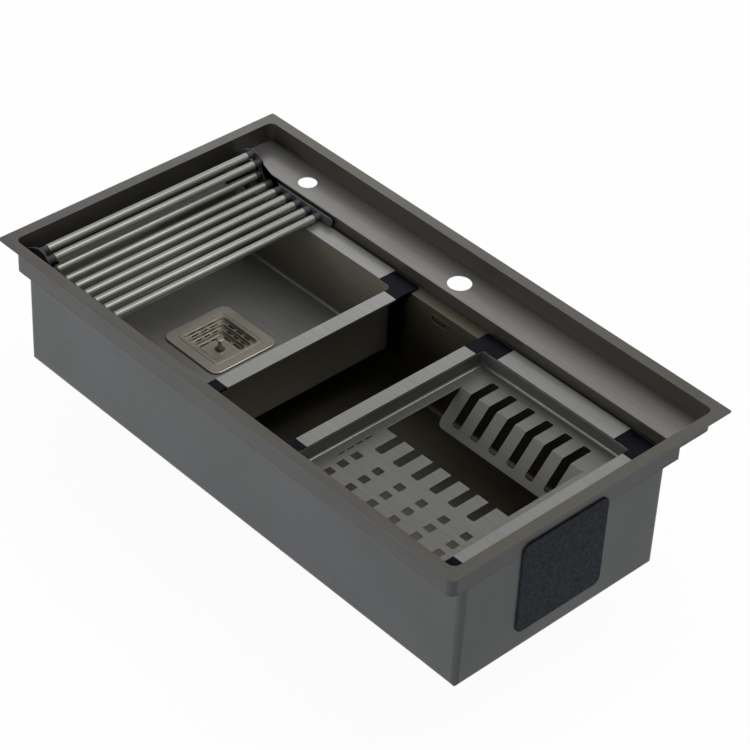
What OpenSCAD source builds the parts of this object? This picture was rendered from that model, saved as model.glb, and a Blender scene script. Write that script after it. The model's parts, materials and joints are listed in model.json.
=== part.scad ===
// Workstation kitchen sink: a welded steel sink with a sunken tap deck and two ledges that
// carry a lift-out tub, a sliding dish tray and a roll-up rack.
// X runs along the sink, left to right, Y from the user to the wall, Z up.
// The origin is the middle of the rim's underside, where the sink sits on the worktop.

/* [Rim and shell] */
// Length of the rim, left to right
rim_len = 900; // [860:10:1100]
// Width of the rim, front to back
rim_wid = 500; // [470:5:560]
// How far the rim stands out past the walls below it
rim_overhang = 16; // [10:1:22]
// Thickness of the rim plate
rim_t = 2; // [1.5:0.5:4]
// Sheet thickness of the welded shell
sheet = 1.2; // [1:0.1:2]
// Radius of the rim's outer corners
rim_corner_r = 3; // [1:0.5:8]
// Inner radius of the upright corners of the shell
corner_r = 10; // [6:1:16]
// Inner radius where the bowl's walls meet its floor
floor_r = 10; // [6:1:16]

/* [Tap deck] */
// Depth of the tap deck, front to back
deck_depth = 61; // [55:1:80]
// Drop from the rim's underside to the tap deck
deck_drop = 28; // [15:1:34]
// Diameter of the tap hole
tap_hole_d = 35; // [30:0.5:38]
// Place of the tap hole along the sink
tap_hole_x = 0; // [-100:5:100]
// Diameter of the accessory hole
side_hole_d = 28; // [22:0.5:35]
// Place of the accessory hole along the sink
side_hole_x = -315; // [-360:5:-200]
// Distance of both holes from the deck's rear wall
hole_from_rear = 33; // [26:1:36]

/* [Ledges and bowl] */
// Drop from the rim's underside to the ledges
ledge_drop = 46.6; // [42:0.2:60]
// Width of the rear ledge
ledge_rear = 22; // [18:1:30]
// Width of the front ledge
ledge_front = 19; // [16:1:26]
// Drop from the rim's underside to the bowl's floor
bowl_drop = 214; // [205:1:250]
// Depth of the seat pressed into the floor for the waste
waste_seat = 3; // [2:0.5:4]

/* [Overflow] */
// Length of the overflow slot
overflow_len = 32; // [26:1:40]
// Height of the overflow slot
overflow_h = 9; // [7:0.5:12]
// Place of the overflow along the sink
overflow_x = 16; // [-20:1:60]
// Drop from the ledge to the middle of the overflow slot
overflow_drop = 16.5; // [14:0.5:30]
// Radius of the overflow box's hose spigot
overflow_spigot_r = 10; // [8:0.5:11]

/* [Inserts] */
// Height of an insert's rim
insert_rim_h = 3.3; // [3:0.1:5]
// Thickness of an insert's flange
flange_t = 1.4; // [1:0.1:1.8]
// Sheet thickness of the tub and the tray
insert_t = 1.2; // [1:0.1:1.6]
// Gap between an insert's rim and the walls in front of it and behind it
insert_clear = 5.8; // [4:0.2:8]
// Length of a corner bracket's arm along the sink
bracket_arm_x = 49.5; // [40:0.5:54]
// Length of a corner bracket's arm from front to back
bracket_arm_y = 45; // [36:0.5:54]
// Thickness of a corner bracket's outer skirt
bracket_skirt = 1.6; // [1.2:0.1:2.4]

/* [Tub] */
// Length of the tub's rim
tub_len = 373; // [330:1:390]
// Gap between the tub's rim and the left wall
tub_gap = 16.8; // [12:0.2:24]
// Width of the tub's side flanges
tub_flange = 24; // [18:1:28]
// Depth of the tub, from its rim to its floor
tub_depth = 106; // [90:1:120]
// Gap between the tub's front wall and the bowl
tub_gap_front = 4.6; // [3:0.2:8]
// Gap between the tub's rear wall and the bowl
tub_gap_rear = 12.6; // [11:0.2:16]
// Inner radius of the tub's bottom edges
tub_floor_r = 6; // [4:0.5:12]
// Width of a tub bracket's leg
leg_w = 19; // [12:0.5:20]
// Thickness of a tub bracket's leg
leg_t = 4; // [2.5:0.5:6]
// How far a tub bracket's foot reaches inwards past the tub's wall
foot_in = 14; // [8:1:15]

/* [Tub drain] */
// Side of the drain's square bezel
bezel_side = 117; // [108:1:130]
// Height of the bezel above the tub's floor
bezel_h = 3; // [2.5:0.1:4]
// Side of the strainer's lip
strainer_side = 85; // [80:0.5:88]
// Height of one step of the strainer
strainer_step_h = 6; // [4.5:0.5:6.5]
// Width of one step of the strainer
strainer_step_w = 5.8; // [5:0.1:6.5]
// Width of the strainer's slots
strainer_slot_w = 2.8; // [2:0.1:3.2]
// Depth of the sump below the tub's floor
sump_depth = 23; // [21:0.5:26]
// Radius of the sump's outlet neck
sump_neck_r = 20; // [16:0.5:24]

/* [Dish tray] */
// Length of the tray's rim
tray_len = 313; // [300:1:340]
// Gap between the tray's rim and the right wall
tray_gap = 27.8; // [24:0.2:40]
// Width of the tray's side flanges
tray_flange = 22; // [18:1:26]
// Depth of the tray, from its rim to its floor
tray_depth = 24; // [18:0.5:30]
// Gap between the tray's walls and the bowl, front and rear
tray_wall_gap = 14.6; // [11:0.2:18]
// Floor kept on the window's left side
window_left = 17; // [12:1:20]
// Floor kept on the window's right side
window_right = 26; // [20:1:30]
// Distance from the tray's rear wall to the fold
fold_from_rear = 56; // [50:1:64]
// Length of the window, from the fold to its front edge
window_depth = 136; // [120:1:145]
// Length of the folded flap
flap_len = 60; // [50:1:66]
// Slope of the flap below level
flap_angle = 47; // [35:1:60]
// Radius of the flap's lower corners
flap_corner_r = 10; // [6:1:14]
// Number of plate slots
slot_count = 6; // [4:1:6]
// Spacing of the plate slots
slot_pitch = 34; // [28:0.5:36]
// Width of a plate slot
slot_w = 14; // [10:0.5:16]
// Length of the front plate slots
slot_front = 41; // [32:1:44]
// Length of the rear plate slots behind the fold
slot_rear = 39; // [30:1:42]
// Length of the rear plate slots down the flap
slot_flap = 49; // [38:1:50]
// Side of the square drain holes
hole_side = 13; // [9:0.5:14]
// Number of square holes along the tray
hole_cols = 6; // [4:1:6]
// Number of rows of square holes
hole_rows = 3; // [2:1:3]
// Spacing of the square holes along the tray
hole_pitch_x = 40.5; // [36:0.5:42]
// Spacing of the rows of square holes
hole_pitch_y = 24; // [20:0.5:25]
// Distance from the tray's front wall to the nearest row
hole_from_front = 25; // [20:0.5:28]
// Length of the narrow dashes along the left wall
dash_len = 11; // [8:0.5:13]
// Width of the narrow dashes
dash_w = 3.4; // [2:0.1:3.6]

/* [Roll-up rack] */
// Diameter of a rack tube
tube_d = 12; // [9:0.5:13]
// Wall of a rack tube
tube_wall = 0.8; // [0.6:0.1:1.2]
// Spacing of the rack tubes
tube_pitch = 21.2; // [18:0.1:21.5]
// Distance from the left wall to the last tube that lies flat
rack_from_left = 76; // [72:0.5:90]
// Gap between the rack's rear strip and the step behind it
rack_clear = 3.8; // [3:0.2:5]
// Gap between the rack's front strip and the front wall
rack_clear_front = 12.2; // [8:0.2:14]
// Thickness of the end strips' outer band, front to back
band_w = 3.6; // [2.5:0.1:5]
// Height of the end strips' band
band_h = 13; // [10:0.5:15]
// Length of the neck between the band and a tube
neck_len = 11; // [6:0.5:16]
// Length of the plug inside a tube's end
plug_len = 10; // [6:0.5:14]

/* [Waste] */
// Radius of the waste's cup
cup_r = 43.5; // [40:0.5:46]
// Depth of the waste's cup below the bowl's floor
cup_depth = 46; // [42:1:60]
// Radius of the outlet's screw thread
outlet_r = 23.9; // [20:0.1:26]
// Length of the outlet below the cup
outlet_len = 36; // [26:1:50]
// Radius of the basket's lip
basket_lip_r = 50; // [47:0.5:52]
// Depth of the basket
basket_depth = 30; // [24:1:34]

/* [Sound pads] */
// Thickness of the sound pads
pad_t = 3; // [2:0.5:6]
// Length of an end pad, front to back
pad_len = 153; // [120:1:200]
// Height of an end pad
pad_h = 148; // [110:1:160]
// Corner radius of the pads
pad_r = 12; // [6:1:25]

/* [Hidden] */
$fn = 64;
seat_gap = 0.3;         // between two pieces that rest on each other and come apart
fit_gap = 0.1;          // radial play of a plug or a collar
cut = 1;                // how far a cutter runs past a face

// places of the shell
box_x = rim_len / 2 - rim_overhang - sheet;
box_y = rim_wid / 2 - rim_overhang - sheet;
step_y = box_y - deck_depth;
bowl_y0 = -box_y + ledge_front;
bowl_y1 = step_y - ledge_rear;
deck_z = -deck_drop;
ledge_z = -ledge_drop;
bowl_z = -bowl_drop;
hole_y = box_y - hole_from_rear;
shell_under = ledge_z - sheet;

// places of the inserts' rims
ins_y0 = -box_y + insert_clear;
ins_y1 = step_y - insert_clear;
ins_low = ledge_z + seat_gap;
ins_top = ins_low + insert_rim_h;
insert_corner_r = 3;
bracket_arm = [bracket_arm_x, bracket_arm_y];
seat_past = [3, 3];      // how far the pressed seat runs on past a bracket's arms

// tub: rim outline and inner walls, each [x0, x1, y0, y1]
tub_x0 = -box_x + tub_gap;
tub_rim = [tub_x0, tub_x0 + tub_len, ins_y0, ins_y1];
tub_in = [tub_rim[0] + tub_flange, tub_rim[1] - tub_flange,
          bowl_y0 + tub_gap_front + insert_t, bowl_y1 - tub_gap_rear - insert_t];
tub_z = ins_top - tub_depth;
drain_x = (tub_in[0] + tub_in[1]) / 2;
drain_y = (tub_in[2] + tub_in[3]) / 2;

// drain in the tub's floor
bezel_r = 14;
bezel_gasket_t = 0.8;
bezel_top = tub_z + bezel_h;
bezel_low = tub_z + bezel_gasket_t;
strainer_t = 0.9;
strainer_lip_w = 3.6;
rebate_side = strainer_side + 1;
sump_side = 94;
sump_r = 9;
sump_low = tub_z - sump_depth;
neck_drop = 8;
clamp_t = 2;
lip_low = bezel_top - strainer_t;
strainer_r = 7;
strainer_play = 0.5;
strainer_floor = lip_low - 3 * strainer_step_h + strainer_t;
washer_t = 2;
knob_stem_r = 3.4;
knob_cap_r = 6.5;

// tray: rim outline and inner walls
tray_x1 = box_x - tray_gap;
tray_rim = [tray_x1 - tray_len, tray_x1, ins_y0, ins_y1];
tray_in = [tray_rim[0] + tray_flange, tray_rim[1] - tray_flange,
           bowl_y0 + tray_wall_gap + insert_t, bowl_y1 - tray_wall_gap - insert_t];
tray_z = ins_top - tray_depth;
tray_r = 4;
fold_y = tray_in[3] - fold_from_rear;
window_y = fold_y - window_depth;
window_x0 = tray_in[0] + window_left;
window_x1 = tray_in[1] - window_right;
slot_x0 = (window_x0 + window_x1 - (slot_count - 1) * slot_pitch) / 2;
slot_end_r = 3;
fold_steps = 5;          // flats round the outside of the fold
fold_ease = 0.1;         // the flap's slots are this much wider than the floor's
fold_relief = 1;         // notch at each end of the fold
fold_lap = 1.5;          // length of the section that runs on into the floor
tray_cx = (tray_in[0] + tray_in[1]) / 2;
slot_past = 20;          // how far a rear slot's cutter runs past the fold, clear of the other plate
dash_from_wall = 16;
dash_from_window = 84;
dash_pitch = 16;
dash_count = 4;

// rack: centres of the tubes, as [x, z], numbered from the right
flat_count = 6;
rack_y0 = -box_y + rack_clear_front;
rack_y1 = step_y - rack_clear;
tube_y0 = rack_y0 + band_w + neck_len;
tube_y1 = rack_y1 - band_w - neck_len;
axis_z = ins_top + seat_gap + max(band_h, tube_d) / 2;
last_flat_x = -box_x + rack_from_left;
tab_len = 20;
curl = [[-20.4, 6.2], [-4.8, 17], [-15, 6.5]];   // steps from tube to tube up round the curl
curl_bulge = [1.4, 2.5];                         // how far the band arches out past the last step
curl_tab = [[-11, -4.4], [-11, -6.6]];           // steps along the band's free end
function flat_x(i) = last_flat_x + (flat_count - i) * tube_pitch;
function tube_at(i) = i <= flat_count ? [flat_x(i), axis_z] : tube_at(i - 1) + curl[i - flat_count - 1];
tube_count = flat_count + 3;
roll_count = 3;          // tubes at the right that roll up one by one
link_gap = 0.3;
neck_r = tube_d / 2 - 0.4;
bead = 0.3;              // how far the band swells at a tube
plug_r = tube_d / 2 - tube_wall - fit_gap;

// waste under the bowl
waste_z = bowl_z - waste_seat;           // top of the pressed seat
seat_r = cup_r + 15.5;
flange_r = cup_r + 13.5;
waste_flange_t = 2;
cup_wall = 1.5;
cup_low = waste_z - cup_depth;
gasket_t = 2.5;
ring_t = 1.2;
nut_h = 11;
nut_r = cup_r + 9;
nut_lugs = 8;
inlet_r = 10;
inlet_reach = 24;
inlet_bare = 20;         // length of the inlet that a hose goes over
basket_holes = [[12, 8], [20, 12], [28, 18]];    // rings of holes in the basket, as [radius, count]
basket_r = cup_r - cup_wall - 2;
basket_t = 1;
basket_lip_low = waste_z + waste_flange_t + seat_gap;
basket_low = basket_lip_low - basket_depth;

// overflow behind the bowl's rear wall
overflow_bezel_t = 1.2;
overflow_gasket_t = 2;
overflow_box_t = 2;
overflow_box_d = 19;

// sound pads
end_pad_shift = -4;      // from the bowl's middle, front to back
floor_pad = [220, 230];
floor_pad_gap = 30;
floor_pad_from_waste = 26;

steel = [0.40, 0.39, 0.37];
dark_steel = [0.33, 0.33, 0.32];
bronze = [0.42, 0.38, 0.33];
black = [0.05, 0.05, 0.07];
silicone = [0.22, 0.22, 0.22];
felt = [0.14, 0.16, 0.18];
grey_plastic = [0.55, 0.55, 0.56];
rubber = [0.12, 0.12, 0.12];
brown_rubber = [0.30, 0.12, 0.08];

// ---- plain shapes ----

// Flat outline of a rectangle [x0, x1, y0, y1] with rounded corners
module rounded(b, r) {
  translate([b[0] + r, b[2]]) square([b[1] - b[0] - 2 * r, b[3] - b[2]]);
  translate([b[0], b[2] + r]) square([b[1] - b[0], b[3] - b[2] - 2 * r]);
  for (x = [b[0] + r, b[1] - r])
    for (y = [b[2] + r, b[3] - r])
      translate([x, y]) circle(r);
}

function grown(b, d) = [b[0] - d, b[1] + d, b[2] - d, b[3] + d];
function centred(x, y, side) = [x - side / 2, x + side / 2, y - side / 2, y + side / 2];

module slab(b, z0, z1, r) {
  translate([0, 0, z0]) linear_extrude(z1 - z0) rounded(b, r);
}

module block(b, z0, z1) {
  translate([b[0], b[2], z0]) cube([b[1] - b[0], b[3] - b[2], z1 - z0]);
}

// Solid with upright corners of radius rv and bottom edges of radius rb
module pan_block(b, z0, z1, rv, rb) {
  intersection() {
    slab(b, z0, z1, rv);
    translate([0, b[2], 0]) rotate([90, 0, 0]) mirror([0, 0, 1])
      linear_extrude(b[3] - b[2]) rounded([b[0], b[1], z0, z1 + 2 * rb], rb);
    translate([b[0], 0, 0]) rotate([90, 0, 90])
      linear_extrude(b[1] - b[0]) rounded([b[2], b[3], z0, z1 + 2 * rb], rb);
  }
}

// Folded pan: inner faces at b, floor at z0, open top at z1
module pan(b, z0, z1, rv, rb, t) {
  difference() {
    pan_block(grown(b, t), z0 - t, z1, rv + t, rb + t);
    pan_block(b, z0, z1 + cut, rv, rb);
  }
}

// ---- welded shell ----

// Outline of the shell in front of the tap deck
module shell_front(z0, z1) {
  intersection() {
    slab(grown([-box_x, box_x, -box_y, box_y], sheet), z0, z1, corner_r + sheet);
    block([-rim_len, rim_len, -rim_wid, step_y + sheet], z0, z1);
  }
}

// Rim, upper walls and step
module rim_frame() {
  inner = [-box_x, box_x, -box_y, box_y];
  outer = grown(inner, sheet);
  front = [-rim_len, rim_len, -rim_wid, step_y];
  color(steel)
  difference() {
    union() {
      slab([-rim_len / 2, rim_len / 2, -rim_wid / 2, rim_wid / 2], 0, rim_t, rim_corner_r);
      slab(outer, deck_z - sheet, 0, corner_r + sheet);
      shell_front(ledge_z, 0);
    }
    intersection() {
      slab(inner, deck_z - sheet - cut, rim_t + cut, corner_r);
      block([-rim_len, rim_len, step_y + sheet, rim_wid], deck_z - sheet - cut, deck_z);
    }
    slab(inner, deck_z, rim_t + cut, corner_r);
    intersection() {
      slab(inner, ledge_z - cut, rim_t + cut, corner_r);
      block(front, ledge_z - cut, rim_t + cut);
    }
  }
}

// Flat deck let in between the walls and the step
module tap_deck() {
  color(steel)
  difference() {
    intersection() {
      slab([-box_x, box_x, -box_y, box_y], deck_z - sheet, deck_z, corner_r);
      block([-rim_len, rim_len, step_y + sheet, rim_wid], deck_z - sheet, deck_z);
    }
    translate([tap_hole_x, hole_y, deck_z - sheet - cut]) cylinder(d = tap_hole_d, h = sheet + 2 * cut);
    translate([side_hole_x, hole_y, deck_z - sheet - cut]) cylinder(d = side_hole_d, h = sheet + 2 * cut);
  }
}

// Bowl with the two ledges folded out from its front and rear walls
module bowl() {
  inner = [-box_x, box_x, bowl_y0, bowl_y1];
  color(dark_steel)
  difference() {
    union() {
      pan(inner, bowl_z, ledge_z, corner_r, floor_r, sheet);
      shell_front(shell_under, ledge_z);
      translate([drain_x, drain_y, waste_z - sheet]) cylinder(r = seat_r + sheet, h = waste_seat + sheet / 2);
    }
    slab(inner, shell_under - cut, ledge_z + cut, corner_r);
    translate([drain_x, drain_y, waste_z]) cylinder(r = seat_r, h = waste_seat + cut);
    translate([drain_x, drain_y, waste_z - sheet - cut]) cylinder(r = cup_r + 0.5, h = sheet + 2 * cut);
    overflow_slot(bowl_y1 - cut, sheet + 2 * cut, 0);
  }
}

// Long round-ended hole through a wall that faces the user
module overflow_slot(y, depth, grow) {
  r = overflow_h / 2 + grow;
  z = ledge_z - overflow_drop;
  half = (overflow_len - overflow_h) / 2;
  translate([overflow_x, y, z]) {
    translate([-half, 0, -r]) cube([2 * half, depth, 2 * r]);
    for (s = [-1, 1])
      translate([s * half, 0, 0]) rotate([-90, 0, 0]) cylinder(r = r, h = depth);
  }
}

// ---- sound pads ----

module end_pad(side) {
  z_mid = bowl_z / 2;
  y_mid = (bowl_y0 + bowl_y1) / 2 + end_pad_shift;
  color(felt)
  translate([side > 0 ? box_x + sheet : -box_x - sheet - pad_t, 0, 0])
    rotate([90, 0, 90]) linear_extrude(pad_t)
      rounded([y_mid - pad_len / 2, y_mid + pad_len / 2, z_mid - pad_h / 2, z_mid + pad_h / 2], pad_r);
}

module bottom_pads() {
  y_mid = (bowl_y0 + bowl_y1) / 2;
  x_first = drain_x + seat_r + floor_pad_from_waste;
  color(felt)
  for (x = [x_first, x_first + floor_pad[0] + floor_pad_gap])
    slab([x, x + floor_pad[0], y_mid - floor_pad[1] / 2, y_mid + floor_pad[1] / 2],
         bowl_z - sheet - pad_t, bowl_z - sheet, pad_r);
}

// ---- overflow ----

module overflow_bezel() {
  color(steel)
  difference() {
    overflow_slot(bowl_y1 - overflow_bezel_t, overflow_bezel_t, 3);
    overflow_slot(bowl_y1 - overflow_bezel_t - cut, overflow_bezel_t + 2 * cut, 0);
  }
}

module overflow_gasket() {
  color(rubber)
  difference() {
    overflow_slot(bowl_y1 + sheet, overflow_gasket_t, 5);
    overflow_slot(bowl_y1 + sheet - cut, overflow_gasket_t + 2 * cut, 0);
  }
}

module overflow_box() {
  y = bowl_y1 + sheet + overflow_gasket_t;
  z = ledge_z - overflow_drop;
  spigot_y = y + overflow_box_d / 2;
  color(grey_plastic)
  difference() {
    union() {
      overflow_slot(y, overflow_box_d, 6);
      translate([overflow_x, spigot_y, z - overflow_spigot_r - 30])
        cylinder(r = overflow_spigot_r - 0.5, h = 30 + overflow_spigot_r);
      translate([overflow_x, spigot_y, z - overflow_spigot_r - 30])
        cylinder(r = overflow_spigot_r, h = 18);
    }
    overflow_slot(y - cut, overflow_box_d - overflow_box_t + cut, 6 - overflow_box_t);
    translate([overflow_x, spigot_y, z - overflow_spigot_r - 30 - cut])
      cylinder(r = overflow_spigot_r - overflow_box_t, h = 30 + overflow_spigot_r + cut);
  }
}

// ---- waste under the bowl ----

module at_drain() {
  translate([drain_x, drain_y, 0]) children();
}

module tube_ring(r_out, r_in, z0, z1) {
  translate([0, 0, z0])
  difference() {
    cylinder(r = r_out, h = z1 - z0);
    translate([0, 0, -cut]) cylinder(r = r_in, h = z1 - z0 + 2 * cut);
  }
}

module waste_body() {
  inlet_z = cup_low + inlet_r + 4;
  color(dark_steel)
  at_drain()
  difference() {
    union() {
      translate([0, 0, waste_z]) cylinder(r = flange_r, h = waste_flange_t);
      translate([0, 0, cup_low]) cylinder(r = cup_r, h = cup_depth);
      translate([0, 0, cup_low - outlet_len]) cylinder(r = outlet_r, h = outlet_len + cut);
      translate([0, 0, inlet_z]) rotate([-90, 0, 0]) cylinder(r = inlet_r, h = cup_r + inlet_reach);
      translate([0, 0, inlet_z]) rotate([-90, 0, 0]) cylinder(r = inlet_r + 2, h = cup_r + inlet_reach - inlet_bare);
    }
    translate([0, 0, cup_low + cup_wall]) cylinder(r = cup_r - cup_wall, h = cup_depth + waste_flange_t);
    translate([0, 0, cup_low - outlet_len - cut]) cylinder(r = outlet_r - 3.5, h = outlet_len + 2 * cut + cup_wall);
    translate([0, 0, inlet_z]) rotate([-90, 0, 0]) cylinder(r = inlet_r - 2, h = cup_r + inlet_reach + cut);
  }
}

module waste_gasket() {
  top = waste_z - sheet;
  color(rubber) at_drain() tube_ring(seat_r - 2, cup_r + 0.2, top - gasket_t, top);
}

module waste_slip_ring() {
  top = waste_z - sheet - gasket_t;
  color(grey_plastic) at_drain() tube_ring(seat_r - 3, cup_r + 0.2, top - ring_t, top);
}

module waste_locknut() {
  top = waste_z - sheet - gasket_t - ring_t;
  color(grey_plastic)
  at_drain()
  difference() {
    union() {
      translate([0, 0, top - nut_h]) cylinder(r = nut_r, h = nut_h);
      for (i = [0 : nut_lugs - 1])
        rotate(i * 360 / nut_lugs) translate([nut_r - 2, -4, top - nut_h]) cube([6, 8, nut_h]);
    }
    translate([0, 0, top - nut_h - cut]) cylinder(r = cup_r + fit_gap, h = nut_h + 2 * cut);
  }
}

module waste_basket() {
  hole_r = 2.6;
  color(bronze)
  at_drain()
  difference() {
    union() {
      translate([0, 0, basket_lip_low]) cylinder(r = basket_lip_r, h = 1.5);
      translate([0, 0, basket_low]) cylinder(r = basket_r, h = basket_depth + cut);
    }
    translate([0, 0, basket_low + basket_t]) cylinder(r = basket_r - basket_t, h = basket_depth + 2 * cut);
    for (ring = basket_holes)
      for (i = [0 : ring[1] - 1])
        rotate(i * 360 / ring[1]) translate([ring[0], 0, basket_low - cut])
          cylinder(r = hole_r, h = basket_t + 2 * cut);
    translate([0, 0, basket_low - cut]) cylinder(r = 3 + fit_gap, h = basket_t + 2 * cut);
  }
}

module waste_basket_knob() {
  top = bowl_z + 8;
  color(steel)
  at_drain()
    rotate_extrude()
      polygon([[0, basket_low - 10], [3, basket_low - 10], [3, basket_low + basket_t],
               [5, basket_low + basket_t], [5, basket_low + 4], [3, basket_low + 6],
               [3, top - 5], [9, top - 3], [9, top - 1], [7, top], [0, top]]);
}

module waste_stopper() {
  color(rubber)
  at_drain()
  difference() {
    translate([0, 0, basket_low - 5.5]) cylinder(r1 = 20, r2 = 24, h = 5);
    translate([0, 0, basket_low - 6]) cylinder(r = 3 + fit_gap, h = 6);
  }
}

// ---- rims and brackets of the two inserts ----

function corner_box(b, sx, sy, arm) = [
  sx > 0 ? b[1] - arm[0] : b[0], sx > 0 ? b[1] : b[0] + arm[0],
  sy > 0 ? b[3] - arm[1] : b[2], sy > 0 ? b[3] : b[2] + arm[1]];

module corners(b, arm, grow) {
  for (sx = [-1, 1])
    for (sy = [-1, 1]) {
      c = corner_box(b, sx, sy, arm);
      translate([c[0] - grow, c[2] - grow])
        square([c[1] - c[0] + 2 * grow, c[3] - c[2] + 2 * grow]);
    }
}

module rim_plan(rim, inner, r) {
  difference() {
    rounded(rim, insert_corner_r);
    rounded(inner, r);
  }
}

// Flange with a turned-down lip, pressed lower at the corners to take the brackets flush
module insert_rim(rim, inner, r) {
  skirt = bracket_skirt + fit_gap;
  flange_low = ins_top - flange_t;
  translate([0, 0, flange_low]) linear_extrude(flange_t)
    difference() {
      rim_plan(rim, inner, r);
      corners(rim, bracket_arm, fit_gap);
    }
  translate([0, 0, flange_low - insert_t]) linear_extrude(insert_t)
    intersection() {
      rim_plan(grown(rim, -skirt), inner, r);
      corners(rim, bracket_arm + seat_past, 0);
    }
  translate([0, 0, ins_low]) linear_extrude(insert_rim_h)
    difference() {
      rim_plan(rim, grown(rim, -insert_t), insert_corner_r - insert_t);
      corners(rim, bracket_arm, fit_gap);
    }
}

// Black corner piece: top skin over the flange and a skirt round its outside
module corner_bracket(rim, inner, r, sx, sy) {
  c = corner_box(rim, sx, sy, bracket_arm);
  color(black) {
    translate([0, 0, ins_top - flange_t]) linear_extrude(flange_t)
      intersection() {
        rim_plan(rim, inner, r);
        translate([c[0], c[2]]) square([c[1] - c[0], c[3] - c[2]]);
      }
    translate([0, 0, ins_low]) linear_extrude(insert_rim_h)
      intersection() {
        rim_plan(rim, grown(rim, -bracket_skirt), insert_corner_r - bracket_skirt);
        translate([c[0], c[2]]) square([c[1] - c[0], c[3] - c[2]]);
      }
  }
}

// Leg that keeps the tub clear of the bowl: a foot under the side flange and a plate below it
module bracket_leg(sx, sy) {
  wall_x = sx > 0 ? tub_in[1] + insert_t : tub_in[0] - insert_t;
  edge_x = sx > 0 ? tub_rim[1] : tub_rim[0];
  wall_y = sy > 0 ? tub_in[3] + insert_t : tub_in[2] - insert_t;
  near = wall_x + sx * 0.3;
  foot_h = 3.5;
  foot_top = ins_low - 0.3;
  x0 = min(near, edge_x);
  x1 = max(near, edge_x);
  wall_side = wall_y - sy * foot_in;
  bowl_side = sy > 0 ? bowl_y1 - 1 : bowl_y0 + 1;
  y0 = min(wall_side, bowl_side);
  y1 = max(wall_side, bowl_side);
  leg_x0 = sx > 0 ? near : near - leg_w;
  leg_y0 = sy > 0 ? wall_y - leg_t : wall_y;
  skirt_x = sx > 0 ? edge_x - bracket_skirt : edge_x;
  color(black) {
    block([x0, x1, y0, y1], foot_top - foot_h, foot_top);
    block([leg_x0, leg_x0 + leg_w, leg_y0, leg_y0 + leg_t], tub_z, foot_top);
    block([skirt_x, skirt_x + bracket_skirt, y0, y1], foot_top - foot_h, ins_top - flange_t);
  }
}

module tub_bracket(sx, sy) {
  corner_bracket(tub_rim, tub_in, corner_r, sx, sy);
  bracket_leg(sx, sy);
}

module tray_bracket(sx, sy) {
  corner_bracket(tray_rim, tray_in, tray_r, sx, sy);
}

// ---- tub and its drain ----

module tub() {
  color(steel)
  difference() {
    union() {
      pan(tub_in, tub_z, ins_top - flange_t, corner_r, tub_floor_r, insert_t);
      insert_rim(tub_rim, tub_in, corner_r);
    }
    slab(centred(drain_x, drain_y, sump_side + 1), tub_z - insert_t - cut, tub_z + cut, sump_r);
    at_drain() screw_places() translate([0, 0, tub_z - insert_t - cut]) cylinder(r = 1.8, h = insert_t + 2 * cut);
  }
}

module screw_places() {
  for (a = [0 : 90 : 270])
    rotate(a) translate([sump_side / 2 + 5.5, 0, 0]) children();
}

module drain_bezel_gasket() {
  color(rubber)
  difference() {
    slab(centred(drain_x, drain_y, bezel_side - 2), tub_z, bezel_low, bezel_r - 1);
    slab(centred(drain_x, drain_y, sump_side + 1), tub_z - cut, bezel_low + cut, sump_r);
    at_drain() screw_places() translate([0, 0, tub_z - cut]) cylinder(r = 1.8, h = 4);
  }
}

// Pressed sump: raised square bezel with a rebate, box below it and a round outlet neck
module drain_sump() {
  inner = centred(drain_x, drain_y, sump_side - 2 * insert_t);
  neck_in = sump_neck_r - insert_t;
  color(bronze)
  difference() {
    union() {
      slab(centred(drain_x, drain_y, bezel_side), bezel_low, bezel_top, bezel_r);
      slab(centred(drain_x, drain_y, sump_side), sump_low, bezel_low + cut, sump_r);
      at_drain() translate([0, 0, sump_low - neck_drop]) cylinder(r = sump_neck_r, h = neck_drop + cut);
    }
    slab(centred(drain_x, drain_y, rebate_side), lip_low - seat_gap, bezel_top + cut, strainer_r);
    slab(centred(drain_x, drain_y, strainer_side - 2 * strainer_lip_w), bezel_low - cut, bezel_top, strainer_r);
    slab(inner, sump_low + insert_t, bezel_low - 0.2, sump_r - insert_t);
    at_drain() translate([0, 0, sump_low - neck_drop - cut])
      cylinder(r = neck_in, h = neck_drop + insert_t + 2 * cut);
    at_drain() screw_places() translate([0, 0, bezel_low - cut]) cylinder(r = 1.5, h = cut + 1.4);
  }
}

module drain_clamp_gasket() {
  top = tub_z - insert_t;
  color(rubber)
  difference() {
    slab(centred(drain_x, drain_y, bezel_side - 6), top - 1, top, bezel_r - 3);
    slab(centred(drain_x, drain_y, sump_side + 0.6), top - 1 - cut, top + cut, sump_r);
    at_drain() screw_places() translate([0, 0, top - 1 - cut]) cylinder(r = 1.8, h = 1 + 2 * cut);
  }
}

module drain_clamp() {
  top = tub_z - insert_t - 1;
  color(dark_steel)
  difference() {
    slab(centred(drain_x, drain_y, bezel_side - 5), top - clamp_t, top, bezel_r - 2);
    slab(centred(drain_x, drain_y, sump_side + 0.6), top - clamp_t - cut, top + cut, sump_r);
    at_drain() screw_places() translate([0, 0, top - clamp_t - cut]) cylinder(r = 1.8, h = clamp_t + 2 * cut);
  }
}

module drain_clamp_screws() {
  head_top = tub_z - insert_t - 1 - clamp_t;
  color(steel)
  at_drain() screw_places() {
    translate([0, 0, head_top - 2]) cylinder(r = 2.8, h = 2);
    translate([0, 0, head_top - cut]) cylinder(r = 1.45, h = bezel_low + 1.2 - head_top + cut);
  }
}

// Row of slots along the four sides of a square of the given half side
module side_slots(half, z, h, count, len, gap) {
  for (a = [0 : 90 : 270])
    rotate(a)
      for (i = [0 : count - 1])
        translate([half - strainer_slot_w / 2, (i - (count - 1) / 2) * (len + gap) - len / 2, z])
          cube([strainer_slot_w, len, h]);
}

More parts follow.
